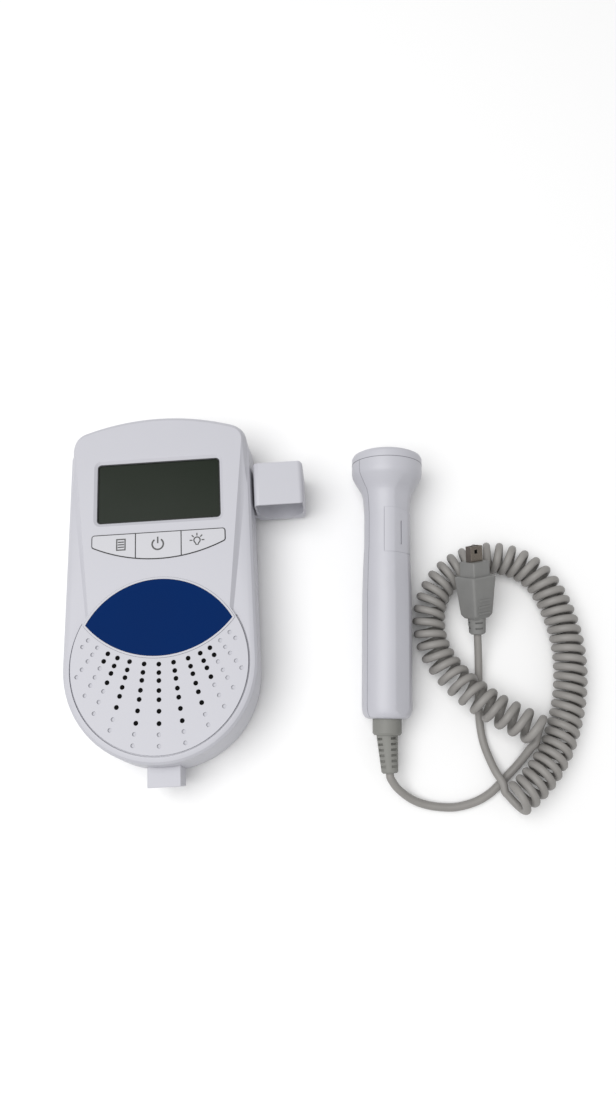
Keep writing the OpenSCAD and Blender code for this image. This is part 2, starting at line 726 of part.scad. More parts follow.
module battery_contacts() {
    color(nickel) for (s = [-1, 1], y = [bay_lo, bay_hi - contact_t])
        block([s * cell_pitch / 2 - 4.5, y, cell_z - 5], [s * cell_pitch / 2 + 4.5, y + contact_t, cell_z + 5]);
}

module battery_springs() {
    color(nickel) {
        translate([-cell_pitch / 2, bay_lo + contact_t, cell_z]) rotate([-90, 0, 0]) contact_spring();
        translate([cell_pitch / 2, bay_hi - contact_t, cell_z]) rotate([90, 0, 0]) contact_spring();
    }
}

// Closed body of a conical spring
module contact_spring() {
    difference() {
        cylinder(r1 = 4.2, r2 = 2.6, h = spring_run);
        translate([0, 0, -eps]) cylinder(r1 = 3.4, r2 = 1.8, h = spring_run + 2 * eps);
    }
}

module headphone_jack() {
    mouth = head_end - arch_r + sqrt(arch_r * arch_r - jack_x * jack_x);
    color([0.13, 0.13, 0.14]) translate([jack_x, mouth + 0.3, split_z]) rotate([90, 0, 0]) difference() {
        union() {
            cylinder(r = jack_nose_r, h = 5);
            translate([-jack_w / 2, board_lo_z - split_z - jack_h, 4.2]) cube([jack_w, jack_h, jack_len]);
        }
        translate([0, 0, -1]) cylinder(r = jack_bore_r, h = jack_len + 1);
    }
}

module volume_wheel() {
    ribs = 36;
    color(shell_white) translate([wheel_x, wheel_y, split_z - wheel_t / 2]) difference() {
        cylinder(r = wheel_r, h = wheel_t);
        translate([0, 0, -1]) cylinder(r = wheel_shaft_r + 0.05, h = wheel_t + 2);
        for (i = [0 : ribs - 1]) rotate([0, 0, 360 * i / ribs])
            translate([wheel_r, 0, -1]) cube([0.7, 0.5, 2 * wheel_t + 4], center = true);
    }
}

module volume_pot() {
    color([0.2, 0.2, 0.22]) translate([wheel_x, wheel_y, 0]) {
        translate([0, 0, split_z + wheel_t / 2 + 0.15])
            cylinder(r = 2.8, h = board_lo_z - split_z - wheel_t / 2 - 0.15);
        translate([0, 0, split_z - wheel_t / 2 - 0.6]) cylinder(r = wheel_shaft_r, h = board_z - split_z + 1.8);
        translate([0, 0, split_z - wheel_t / 2 - 0.9]) cylinder(r = 2.2, h = 0.7);
    }
}

// Block of size [x, z] about the middle of the socket, from depth a to depth b behind its mouth
module in_socket(size, a, b) {
    block([-size[0] / 2, foot_end - socket_out + a, split_z - size[1] / 2],
        [size[0] / 2, foot_end - socket_out + b, split_z + size[1] / 2]);
}

module probe_socket() {
    flange_at = socket_out + wall + 1.7;
    nose_depth = nose_len + socket_clear;
    color(shell_white) difference() {
        union() {
            in_socket([socket_w, socket_t], 0, socket_len);
            in_socket([socket_w + 4, socket_t + 3.2], flange_at, flange_at + 1.6);
        }
        in_socket([nose_w, nose_t] + 2 * [socket_clear, socket_clear], -1, nose_depth);
        in_socket([shell_w, shell_t] + 2 * [socket_clear, socket_clear], -1, nose_depth + shell_len + socket_clear);
    }
}

module socket_contacts() {
    depth = nose_len + shell_len + 2 * socket_clear;
    color(nickel) in_socket([shell_w - 2 * shell_wall - 0.6, tongue_t], depth - 4.5, depth);
}

// ---- probe holder ----

module probe_holder() {
    outer = holder_inner + 2 * holder_wall;
    mid_x = holder_x + outer / 2;
    mid_z = (holder_lo_z + holder_hi_z) / 2;
    color(shell_white) {
        translate([mid_x, holder_y + holder_len, mid_z]) rotate([90, 0, 0]) difference() {
            intersection() {
                linear_extrude(holder_len) rounded_rect(outer, outer, 2);
                // seen from above, its outer corners are round
                translate([0, outer / 2, holder_len / 2]) rotate([90, 0, 0]) linear_extrude(outer) {
                    translate([-outer / 4, 0]) square([outer / 2, holder_len], center = true);
                    rounded_rect(outer, holder_len, 1.8);
                }
            }
            translate([0, 0, -1]) linear_extrude(holder_len + 2) {
                intersection() {
                    square(holder_inner, center = true);
                    union() {
                        circle(d = holder_inner);
                        translate([-holder_inner / 2, 0]) square([holder_inner, holder_inner]);
                    }
                }
            }
        }
        // rib that catches the slot in the probe's neck
        block([mid_x + 1.4, holder_y + 1, holder_hi_z - holder_wall - 0.6],
            [mid_x + 1.9, holder_y + 10, holder_hi_z - holder_wall + 0.2]);
        intersection() {
            rail_slot(0);
            block([0, holder_y, 0], [holder_x + 0.3, holder_y + holder_len, face_z]);
        }
    }
}

// ---- probe ----

module at_probe() {
    translate(probe_at) rotate([probe_pitch, 0, -probe_yaw]) rotate([-90, 0, 0])
        rotate([0, 0, probe_roll]) children();
}

// Outline of the probe from its lower round up to the seam of its head, as [radius, height]
function probe_outline() =
    let (body = probe_body_d / 2, neck = probe_neck_d / 2, head = probe_head_d / 2)
    [[body - 2.5, 0], [body - 1.3, 0.45], [body - 0.45, 1.6], [body - 0.1, 3.2], [body, 4.8], [body, 47],
        [body - 0.25, neck_lo - 9.5], [neck + 0.15, neck_lo - 3.5], [neck, neck_lo], [neck, flare_lo - 2],
        [neck + 0.25, flare_lo + 2], [neck + 0.6, flare_lo + 5.5], [neck + 1.25, flare_lo + 7.8],
        [head - 0.9, flare_lo + 12.6], [head - 0.25, flare_lo + 14], [head, flare_lo + 15.4], [head, head_seam]];

// Half outline of the probe, drawn in by inset
module probe_profile(inset) {
    polygon(concat([[0, inset]],
        [for (p = probe_outline()) [p[0] - inset, p[1] < neck_lo - 20 ? p[1] + inset : p[1]]],
        [[0, head_seam]]));
}

// The facet on the front lies at a fixed share of the outline's radius, and runs out in the flare
module probe_facet_cut() {
    facet = [for (p = probe_outline()) if (p[1] > 3 && p[1] < flare_lo + 8) [p[1], -probe_facet * p[0]]];
    far = -probe_head_d;
    rotate([0, -90, 0]) linear_extrude(2 * probe_head_d, center = true)
        polygon(concat([[-1, far], [-1, facet[0][1] + 0.4], [1.5, facet[0][1]]], facet,
            [[flare_lo + 14, -probe_head_d / 2], [flare_lo + 14, far]]));
}

module probe_solid() {
    pad_r = probe_neck_d / 2 + pad_rise;
    difference() {
        union() {
            difference() {
                rotate_extrude($fn = 72) probe_profile(0);
                probe_facet_cut();
            }
            // the pad is part round and part flat, and a little lower on its right
            intersection() {
                rotate([90, 0, 0]) linear_extrude(pad_r * (probe_facet - 0.003))
                    polygon([[-pad_w / 2, pad_lo], [pad_w / 2, pad_lo], [pad_w / 2, pad_hi - 1.4],
                        [-1.5, pad_hi], [-pad_w / 2, pad_hi]]);
                translate([0, 0, pad_lo]) cylinder(r = pad_r, h = pad_hi - pad_lo);
            }
        }
        rotate_extrude($fn = 72) intersection() {
            probe_profile(probe_wall);
            square([probe_head_d, head_seam - 3]);
        }
        translate([0, 0, head_seam - 3.1]) cylinder(r = probe_head_d / 2 - probe_wall, h = 5);
        block([-0.3, -probe_body_d, pad_lo + 3], [0.3, 1.2 - probe_neck_d / 2, pad_lo + 3 + slot_len]);
        translate([0, 0, -1]) cylinder(r = collar_d / 2 - 1.5 + 0.05, h = 2 * probe_wall + 1);
    }
}

module probe_front_shell() {
    color(shell_white) at_probe() intersection() {
        probe_solid();
        block([-probe_head_d, -probe_head_d, -1], [probe_head_d, 0, probe_len]);
    }
}

module probe_rear_shell() {
    color(shell_white) at_probe() intersection() {
        probe_solid();
        block([-probe_head_d, 0, -1], [probe_head_d, probe_head_d, probe_len]);
    }
}

module probe_cap() {
    head = probe_head_d / 2;
    color(shell_white) at_probe() {
        rotate_extrude($fn = 72) polygon([[0, head_seam + 2.2], [head - probe_wall - 0.8, head_seam + 2.2],
            [head - probe_wall - 0.8, head_seam - 2], [head - probe_wall - 0.1, head_seam - 2],
            [head - probe_wall - 0.1, head_seam], [head, head_seam], [head, head_seam + 2.4],
            [head - 0.5, head_seam + 3.4], [head - 1.6, head_seam + 4], [head - 5, probe_len - 0.2], [0, probe_len]]);
    }
}

module transducer_crystals() {
    color([0.83, 0.80, 0.70]) at_probe() difference() {
        translate([0, 0, head_seam + 1]) cylinder(r = 9.6, h = 1.2);
        block([-0.4, -20, 0], [0.4, 20, probe_len]);
    }
}

module crystal_backing() {
    color([0.25, 0.25, 0.27]) at_probe() translate([0, 0, head_seam - 2.9])
        cylinder(r = probe_head_d / 2 - probe_wall - 1, h = 3.9);
}

module probe_board() {
    half = sqrt(pow(probe_neck_d / 2 - probe_wall, 2) - pcb_t * pcb_t) - 0.05;
    color([0.10, 0.38, 0.22]) at_probe() block([-half, -pcb_t / 2, probe_wall + 3.2], [half, pcb_t / 2, flare_lo]);
}

module probe_collar() {
    color([0.52, 0.53, 0.50]) at_probe() {
        difference() {
            union() {
                translate([0, 0, 0.8 - collar_len]) cylinder(d = collar_d, h = collar_len - 0.8);
                translate([0, 0, -collar_len]) cylinder(d1 = collar_d - 1.2, d2 = collar_d, h = 0.8 + eps);
            }
            // seat of the strain relief's root
            translate([0, 0, -collar_len - 1])
                cylinder(r = relief_r + 0.4, h = 1 + relief_root);
        }
        translate([0, 0, -eps]) cylinder(r = collar_d / 2 - 1.5, h = probe_wall + 0.6);
        translate([0, 0, probe_wall + 0.1]) cylinder(r = collar_d / 2 - 0.5, h = 1.2);
    }
}

// Tapered boot with rows of slots in four columns, from its thin end at z = 0 up
module relief(run, r_thin, r_thick, rows, slot, turn) {
    row = (run - 1.9) / rows;
    mid = (r_thin + r_thick) / 2;
    color([0.55, 0.56, 0.53]) difference() {
        union() {
            cylinder(r1 = r_thin - 0.5, r2 = r_thin, h = 0.5 + eps);
            translate([0, 0, 0.5]) cylinder(r1 = r_thin, r2 = r_thick, h = run - 0.5);
        }
        for (i = [0 : rows - 1], a = [turn : 90 : turn + 270]) rotate([0, 0, a])
            translate([mid, 0, 1.4 + (i + 0.5) * row]) cube([1.8, 2.8, slot], center = true);
    }
}

// Leans with the cord, on a root in line with the probe
module probe_relief() {
    translate(relief_end) rotate([probe_pitch, 0, -relief_yaw]) rotate([-90, 0, 0])
        relief(relief_len, relief_r - 0.9, relief_r, 6, 0.85, 37);
    color([0.55, 0.56, 0.53]) at_probe() translate([0, 0, -collar_len])
        cylinder(r = relief_r - 0.4, h = relief_root);
}

// ---- cord ----

module lead(points) {
    m = len(points);
    function way(i) = unit(points[min(i + 1, m - 1)] - points[max(i - 1, 0)]);
    color(cord_grey) polyhedron(
        [for (i = [0 : m - 1]) let (t = way(i), u = unit(cross(t, [0, 0, 1])))
            each ring(points[i], u, cross(u, t), cord_d / 2, lead_sides)],
        tube_faces(m, lead_sides), convexity = 8);
}

module probe_lead() {
    start = relief_end;
    lead(concat([start, start - cord_d / 2 * dir(probe_pitch, relief_yaw)], probe_lead_points,
        [coil_in - cord_dir(0), coil_in]));
}

module plug_lead() {
    lead(concat([coil_out, coil_out + cord_dir(coil_curls)], plug_lead_points,
        [plug_at - cord_d * dir(plug_pitch, plug_yaw), plug_at]));
}

module cord_coil() {
    n = coil_curls * coil_steps;
    points = [for (j = [0 : n]) cord_at(j / coil_steps)];
    // least distance between points at least half a curl apart along the cord, less its diameter
    gap = min([for (i = [0 : n - 4]) min([for (j = [i + 4 : n]) norm(points[j] - points[i])])]) - cord_d;
    echo(curls = coil_curls, least_gap_mm = gap);
    function curl_ring(at, t) = let (f = cord_dir(t), u = unit(outward(t) - (outward(t) * f) * f))
        ring(at, u, cross(u, f), cord_d / 2, coil_sides);
    color(cord_grey) polyhedron(
        concat(curl_ring(coil_in, 0), [for (j = [0 : n]) each curl_ring(points[j], j / coil_steps)],
            curl_ring(coil_out, coil_curls)),
        tube_faces(n + 3, coil_sides), convexity = 60);
}

// ---- plug ----

module at_plug() {
    translate(plug_at) rotate([plug_pitch, 0, -plug_yaw]) rotate([-90, 0, 0])
        rotate([0, 0, plug_roll]) children();
}

module plug_relief() {
    at_plug() rotate([0, 0, -plug_roll]) relief(plug_relief_len, 3.15, 3.45, 2, 0.65, 4);
}

module plug_body() {
    rear_w = nose_w + 0.9;
    rear_t = nose_t + 0.6;
    grip_w = nose_w + 3.6;
    grip_t = nose_t + 2.8;
    lo = plug_relief_len;
    color([0.52, 0.53, 0.52]) at_plug() difference() {
        union() {
            hull() {
                translate([0, 0, lo]) linear_extrude(eps) rounded_rect(rear_w - 1.6, rear_t - 1.6, 1.2);
                translate([0, 0, lo + 1.4]) linear_extrude(eps) rounded_rect(rear_w, rear_t, 0.9);
                translate([0, 0, lo + plug_len - 0.4]) linear_extrude(eps) rounded_rect(grip_w, grip_t, 0.9);
                translate([0, 0, lo + plug_len]) linear_extrude(eps) rounded_rect(grip_w - 0.8, grip_t - 0.8, 0.8);
            }
            translate([0, 0, lo + plug_len - 1]) linear_extrude(nose_len + 1) rounded_rect(nose_w, nose_t, 0.5);
            for (s = [-1, 1], i = [0 : 2]) translate([0, s * (rear_t / 2 - 0.05 + 0.16 * i), lo + 2.2 + 2.5 * i])
                cube([6.2, 1, 0.8], center = true);
        }
        translate([0, 0, lo + plug_len + nose_len - 1.5]) linear_extrude(3)
            square([shell_w + 0.02, shell_t + 0.02], center = true);
    }
}

module plug_shell() {
    lo = plug_relief_len + plug_len + nose_len;
    color(nickel) at_plug() difference() {
        translate([0, 0, lo - 1.5]) linear_extrude(shell_len + 1.5) square([shell_w, shell_t], center = true);
        translate([0, 0, lo - 0.8]) linear_extrude(shell_len + 2)
            square([shell_w - 2 * shell_wall, shell_t - 2 * shell_wall], center = true);
        translate([-0.4, 0, lo + shell_len - 2.1]) cube([1.5, 2 * shell_t, 1.5], center = true);
    }
}

module plug_insert() {
    lo = plug_relief_len + plug_len + nose_len;
    color([0.08, 0.08, 0.08]) at_plug() translate([0, 0.4, lo - 0.8]) linear_extrude(shell_len - 0.6)
        square([shell_w - 2 * shell_wall - 0.1, tongue_t], center = true);
}

front_cover();
rear_cover();
battery_door();
lcd_window();
lcd_module();
menu_button();
power_button();
lamp_button();
badge();
main_board();
board_chips();
tact_switches();
board_screws();
case_screws();
speaker_basket();
speaker_cone();
speaker_magnet();
speaker_gasket();
battery_a();
battery_b();
battery_contacts();
battery_springs();
headphone_jack();
volume_wheel();
volume_pot();
probe_socket();
socket_contacts();
probe_holder();
probe_front_shell();
probe_rear_shell();
probe_cap();
transducer_crystals();
crystal_backing();
probe_board();
probe_collar();
probe_relief();
probe_lead();
cord_coil();
plug_lead();
plug_relief();
plug_body();
plug_shell();
plug_insert();
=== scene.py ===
# %% [markdown]
# # A fetal doppler monitor, dressed for its portrait
# The imported model brings every piece at its real size and place: a handheld case with a display,
# three buttons and a loudspeaker grille, a clip-on holder, and a probe on a curly cord. This
# script adds what solids alone can't show: moulded surfaces, the one smooth cord, printed icons
# and the studio. It begins by loading the model as a fixed frame. Lengths are written in
# millimetres and become metres, Blender's unit, on their way into it.

# %% The frame
import math

import bmesh
import bpy
from mathutils import Matrix, Vector


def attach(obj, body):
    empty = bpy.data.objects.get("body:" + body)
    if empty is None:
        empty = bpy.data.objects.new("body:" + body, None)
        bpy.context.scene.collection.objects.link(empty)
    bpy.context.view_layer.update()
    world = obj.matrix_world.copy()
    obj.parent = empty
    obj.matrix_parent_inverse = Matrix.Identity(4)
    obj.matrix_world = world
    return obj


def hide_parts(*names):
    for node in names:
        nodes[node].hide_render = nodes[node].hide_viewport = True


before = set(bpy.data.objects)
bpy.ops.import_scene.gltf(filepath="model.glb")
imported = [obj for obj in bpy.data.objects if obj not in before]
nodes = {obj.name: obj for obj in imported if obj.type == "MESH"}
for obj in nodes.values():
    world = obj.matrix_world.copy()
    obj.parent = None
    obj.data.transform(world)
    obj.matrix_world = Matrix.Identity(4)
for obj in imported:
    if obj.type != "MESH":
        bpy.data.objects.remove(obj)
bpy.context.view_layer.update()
MM = 0.001

# %% [markdown]
# ## The camera
# The photograph was taken from about 32 cm above the table, over the lower half of the group, so
# sides that face down the picture show a little. The pose was worked out from the case's round
# foot, the fan of grille holes and the display's corners. Angles are ordinary XYZ Euler angles,
# in degrees.

# %% Camera
CAMERA_AT = (0.065323, -0.071447, 0.317792)
CAMERA_ANGLES = (15.397, 2.464, -3.046)
FOCAL_PX = 800
PHOTO_HEIGHT_PX = 1094
SENSOR_MM = 36

camera_data = bpy.data.cameras.new("camera")
camera_data.sensor_width = SENSOR_MM
camera_data.lens = FOCAL_PX / PHOTO_HEIGHT_PX * SENSOR_MM
camera_data.clip_start = 0.01
camera = bpy.data.objects.new("camera", camera_data)
camera.location = CAMERA_AT
camera.rotation_euler = [math.radians(a) for a in CAMERA_ANGLES]
bpy.context.scene.collection.objects.link(camera)
bpy.context.scene.camera = camera
print("lens:", round(camera_data.lens, 2), "mm")

# %% [markdown]
# ## The route of the cord
# A curly cord is a helix wound round an axis that itself wanders over the table. The axis is a
# chain of arcs, written as counts and angles: how many curls, how far they bend, and how closely
# they sit on the inside of the bend. Where the coil crosses the straight lead or itself, the axis
# rises in a long hump. These are the same numbers as in the model, so the smooth cord lies
# exactly where its faceted stand-in lies.

# %% The curls' axis
CORD_D = 3.0
COIL_OD = 12.7
COIL_R = (COIL_OD - CORD_D) / 2
COIL_REST_Z = COIL_OD / 2 + 0.05
COIL_START = (138.5, -63, 149)
COIL_ARCS = [(3, -1, 5.2), (6, -29, 4.4), (6, -54, 3.6), (7, -68, 3.45),
             (6, -63, 3.45), (7, -25, 3.5), (8, -24, 3.5), (8, -34, 3.6)]
COIL_RISES = [(0, 9, 6.5), (5.2, 4, 1.5), (51, 10, 3.6)]
CURLS = sum(arc[0] for arc in COIL_ARCS)
print("curls:", CURLS)

# %% [markdown]
# The start is a place and a heading. Each arc holds its count of curls, its bend in degrees and
# the room per curl on the inside of the bend, so its radius follows from them. Each rise is a
# smooth hump: where along the curls its top is, how many curls it takes to each side, and how
# high it is.

# %% Points on the axis
def along_arc(start, arc, share):
    curls, bend, spacing = arc
    x, y, heading = start
    turn = math.radians(bend)
    radius = (curls * spacing + abs(turn) * COIL_R) / turn
    h0, h1 = math.radians(heading), math.radians(heading) + turn * share
    return (x + radius * (math.sin(h1) - math.sin(h0)),
            y - radius * (math.cos(h1) - math.cos(h0)), heading + bend * share)


def rise(t):
    return sum(height * (1 + math.cos(math.pi * (t - centre) / half)) / 2
               for centre, half, height in COIL_RISES if abs(t - centre) < half)


ARC_STARTS, ARC_CURLS = [COIL_START], [0]
for arc in COIL_ARCS:
    ARC_STARTS.append(along_arc(ARC_STARTS[-1], arc, 1))
    ARC_CURLS.append(ARC_CURLS[-1] + arc[0])


def axis_at(t):
    k = max(i for i in range(len(COIL_ARCS)) if i == 0 or t >= ARC_CURLS[i])
    x, y, _ = along_arc(ARC_STARTS[k], COIL_ARCS[k], (t - ARC_CURLS[k]) / COIL_ARCS[k][0])
    return Vector((x, y, COIL_REST_Z + rise(t)))


print("axis ends at", [round(v, 1) for v in axis_at(CURLS)])

# %% [markdown]
# The cord itself circles the axis once per curl. At each point a small frame of forward, left and
# up directions carries the circle round, so the curls lean with the axis where it climbs.

# %% The cord's line round the axis
def cord_at(t):
    ahead = (axis_at(t + 0.02) - axis_at(t - 0.02)).normalized()
    left = Vector((0, 0, 1)).cross(ahead).normalized()
    up = ahead.cross(left)
    phase = 2 * math.pi * t - math.pi / 2
    return axis_at(t) + COIL_R * (math.sin(phase) * up - math.cos(phase) * left)


def cord_dir(t):
    return (cord_at(t + 0.01) - cord_at(t - 0.01)).normalized()


POINTS_PER_CURL = 24
coil_line = [cord_at(i / POINTS_PER_CURL) for i in range(CURLS * POINTS_PER_CURL + 1)]
coil_in = cord_at(0) - CORD_D * cord_dir(0)
coil_out = cord_at(CURLS) + CORD_D * cord_dir(CURLS)
print("coil ends:", [round(v, 1) for v in coil_in], [round(v, 1) for v in coil_out])

# %% [markdown]
# The two straight ends run through given points: out of the probe's strain relief, down to the
# table, under the coil and up into its first curl, and from its last curl under the coil to the
# plug.

# %% The straight ends
RELIEF_END = Vector((82.3, -74.463, 8.756))
RELIEF_DIR = Vector((0, 0.99897, 0.04536))
PLUG_END = Vector((119.9, -24.6, 9.6))
PLUG_DIR = Vector((0, 0.92718, 0.37461))
PROBE_LEAD = [(83.1, -77.6, 7.8), (84.4, -79.6, 6.5), (86.5, -81.7, 5), (89.2, -83.8, 3.5),
              (92.5, -85.6, 2.4), (96.4, -86.9, 1.8), (100.8, -87.7, 1.6), (105.6, -88, 1.6),
              (110.6, -87.3, 1.6), (115.2, -85.9, 1.6), (119.4, -83.7, 1.6), (123.3, -80.7, 1.6),
              (127, -77.4, 1.7), (130.4, -74.2, 2.8), (133.2, -71, 4.9), (135.4, -68.2, 7)]
PLUG_LEAD = [(124, -80.2, 5.2), (121.9, -76, 4.4), (120.3, -71, 2.8), (119.1, -66, 1.8),
             (118.5, -61, 1.6), (118.4, -56, 1.6), (118.8, -50.8, 1.7), (119.2, -45.6, 2.3),
             (119.6, -40.4, 3.5), (119.8, -35.2, 5.3), (119.9, -30.2, 7.3)]
LEAD_STEP = 0.8
print("hand-placed points:", len(PROBE_LEAD), "and", len(PLUG_LEAD))

# %% [markdown]
# A Catmull-Rom curve runs through the points, because it passes through each of them smoothly.
# Each straight end starts and ends with a point that continues the piece it comes from, so that
# the cord leaves the strain relief, and enters the coil, without a kink.

# %% A smooth line through points
def smooth_through(points, step):
    """Points of a Catmull-Rom curve, about one step apart."""
    points = [2 * points[0] - points[1]] + points + [2 * points[-1] - points[-2]]
    line = []
    for a, b, c, d in zip(points, points[1:], points[2:], points[3:]):
        n = max(2, round((c - b).length / step))
        for i in range(n):
            u = i / n
            line.append(0.5 * (2 * b + (c - a) * u + (2 * a - 5 * b + 4 * c - d) * u ** 2
                               + (3 * b - a - 3 * c + d) * u ** 3))
    return line + [points[-2]]


probe_line = smooth_through(
    [RELIEF_END, RELIEF_END - CORD_D / 2 * RELIEF_DIR] + [Vector(p) for p in PROBE_LEAD]
    + [coil_in - cord_dir(0), coil_in], LEAD_STEP)
plug_line = smooth_through(
    [coil_out, coil_out + cord_dir(CURLS)] + [Vector(p) for p in PLUG_LEAD]
    + [PLUG_END - CORD_D * PLUG_DIR, PLUG_END], LEAD_STEP)
cord_line = probe_line + coil_line + plug_line
cord_length = sum((b - a).length for a, b in zip(cord_line, cord_line[1:]))
print("cord length:", round(cord_length), "mm in", len(cord_line), "points")

# %% [markdown]
# The cord is a curve with a round bevel, because a curve stays round and even however it winds,
# and keeps its line for anyone who wants to move it. It takes the place of three faceted solids
# and lies on the same line.

# %% The cord as one curve
def tube(name, line, diameter, resolution=4, loop=False):
    """A round tube along a line. A curve's box is measured from the radius of its points, so the
    points hold the real radius and the bevel is one metre deep."""
    curve = bpy.data.curves.new(name, "CURVE")
    curve.dimensions = "3D"
    curve.bevel_depth = 1
    curve.bevel_resolution = resolution
    curve.use_fill_caps = True
    spline = curve.splines.new("POLY")
    spline.points.add(len(line) - 1)
    for point, at in zip(spline.points, line):
        point.co = (*(at * MM), 1)
        point.radius = diameter / 2 * MM
    spline.use_smooth = True
    spline.use_cyclic_u = loop
    obj = bpy.data.objects.new(name, curve)
    bpy.context.scene.collection.objects.link(obj)
    return obj


cord = tube("curly_cord", cord_line, CORD_D)
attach(cord, "probe")
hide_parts("probe_lead", "cord_coil", "plug_lead")
print("cord:", len(cord.data.splines[0].points), "points,", CORD_D, "mm thick")

# %% [markdown]
# ## Materials as recipes
# Every finish starts from one Principled shader, and what varies over a surface is worked out
# with Math nodes. The class below wraps a socket, so that this maths can be written as plain
# expressions. The reflected forms are for expressions that begin with a number.

# %% Shader maths
class Wire:
    """An output socket that adds, multiplies and so on by adding Math nodes to its tree."""

    def __init__(self, recipe, socket):
        self.recipe, self.socket = recipe, socket

    def maths(self, operation, *values):
        sockets = {i: value for i, value in enumerate(values)}
        return self.recipe.add("ShaderNodeMath", {"operation": operation}, sockets)

    def __add__(self, other):
        return self.maths("ADD", self, other)

    def __radd__(self, other):
        return self.maths("ADD", other, self)

    def __sub__(self, other):
        return self.maths("SUBTRACT", self, other)

    def __rsub__(self, other):
        return self.maths("SUBTRACT", other, self)

    def __mul__(self, other):
        return self.maths("MULTIPLY", self, other)

    def __rmul__(self, other):
        return self.maths("MULTIPLY", other, self)


print("wire class ready")

# %% [markdown]
# A recipe holds one material while it is being made. Its one method adds any node: first the
# settings, such as a colour ramp's stops, then a value or a link for each socket.

# %% Recipe of a material
class Recipe:
    """A material under construction: a Principled shader, and a method that adds any node."""

    def __init__(self, name, **constants):
        self.material = bpy.data.materials.new(name)
        self.material.use_nodes = True
        self.tree = self.material.node_tree
        self.shader = self.tree.nodes["Principled BSDF"]
        for socket, value in constants.items():
            self.shader.inputs[socket.replace("_", " ")].default_value = value

    def add(self, kind, settings=None, sockets=None, out=0):
        node = self.tree.nodes.new(kind)
        for key, value in (settings or {}).items():
            if key == "stops":
                ramp = node.color_ramp
                while len(ramp.elements) < len(value):
                    ramp.elements.new(0.5)
                for element, (at, colour) in zip(ramp.elements, value):
                    element.position, element.color = at, colour
            else:
                setattr(node, key, value)
        for key, value in (sockets or {}).items():
            if isinstance(value, Wire):
                self.tree.links.new(value.socket, node.inputs[key])
            else:
                node.inputs[key].default_value = value
        return Wire(self, node.outputs[out])

    def feed(self, name, wire):
        self.tree.links.new(wire.socket, self.shader.inputs[name])
        return self


print("recipe class ready")

# %% [markdown]
# ## Finishes
# The case is moulded in cool white plastic. Real mouldings are never one flat colour: the resin
# clouds a little, and the tool leaves a fine grain that breaks the highlights. Noise in the
# piece's own coordinates gives both, at real sizes: clouds of centimetres, grain of a third of a
# millimetre.

# %% Moulded plastic
CLOUD_SCALE, GRAIN_SCALE, GRAIN_DEPTH = 45, 2800, 0.00004


def moulded(name, colour, rough, grain=0.35, clouds=0.03, **constants):
    recipe = Recipe(name, **constants)
    place = recipe.add("ShaderNodeTexCoord", out="Object")
    cloud = recipe.add("ShaderNodeTexNoise", None,
                       {"Vector": place, "Scale": CLOUD_SCALE, "Detail": 3})
    skin = recipe.add("ShaderNodeTexNoise", None,
                      {"Vector": place, "Scale": GRAIN_SCALE, "Detail": 2})
    dark = tuple(c * (1 - clouds) for c in colour)
    light = tuple(min(1, c * (1 + clouds)) for c in colour)
    tint = recipe.add("ShaderNodeMix", {"data_type": "RGBA"},
                      {0: cloud, 6: (*dark, 1), 7: (*light, 1)}, out=2)
    bump = recipe.add("ShaderNodeBump", None,
                      {"Strength": grain, "Distance": GRAIN_DEPTH, "Height": skin})
    recipe.feed("Base Color", tint).feed("Normal", bump)
    recipe.feed("Roughness", rough + 0.12 * (cloud - 0.5) + 0.08 * (skin - 0.5))
    return recipe.material


CASE_WHITE = (0.48, 0.48, 0.52)
white = moulded("case_white", CASE_WHITE, 0.42)
cap_white = moulded("button_white", (0.49, 0.49, 0.52), 0.36, grain=0.15)
print("plastics:", white.name, cap_white.name)

# %% [markdown]
# The cord and its fittings are a grey elastomer: duller than the case, with a soft sheen and a
# slightly mottled colour from handling.

# %% Rubber
MOTTLE_SCALE, PORE_SCALE, PORE_DEPTH = 140, 3500, 0.00005


def rubber(name, colour, rough=0.55):
    recipe = Recipe(name, Specular_IOR_Level=0.35)
    place = recipe.add("ShaderNodeTexCoord", out="Object")
    mottle = recipe.add("ShaderNodeTexNoise", None,
                        {"Vector": place, "Scale": MOTTLE_SCALE, "Detail": 4})
    pores = recipe.add("ShaderNodeTexNoise", None,
                       {"Vector": place, "Scale": PORE_SCALE, "Detail": 2})
    tint = recipe.add("ShaderNodeMix", {"data_type": "RGBA"},
                      {0: mottle, 6: (*[c * 0.86 for c in colour], 1),
                       7: (*[c * 1.14 for c in colour], 1)}, out=2)
    bump = recipe.add("ShaderNodeBump", None,
                      {"Strength": 0.3, "Distance": PORE_DEPTH, "Height": pores})
    recipe.feed("Base Color", tint).feed("Normal", bump)
    recipe.feed("Roughness", rough + 0.2 * (mottle - 0.5))
    return recipe.material


cord_grey = rubber("cord_grey", (0.262, 0.252, 0.24), 0.48)
collar_grey = rubber("collar_grey", (0.215, 0.215, 0.2))
plug_grey = rubber("plug_grey", (0.205, 0.205, 0.2), 0.5)
cord.data.materials.append(cord_grey)
print("rubbers:", cord_grey.name, collar_grey.name, plug_grey.name)

# %% [markdown]
# The remaining finishes are small: the tinted pane, the navy badge, nickel, black plastic, the
# green board, the cells' sleeves.

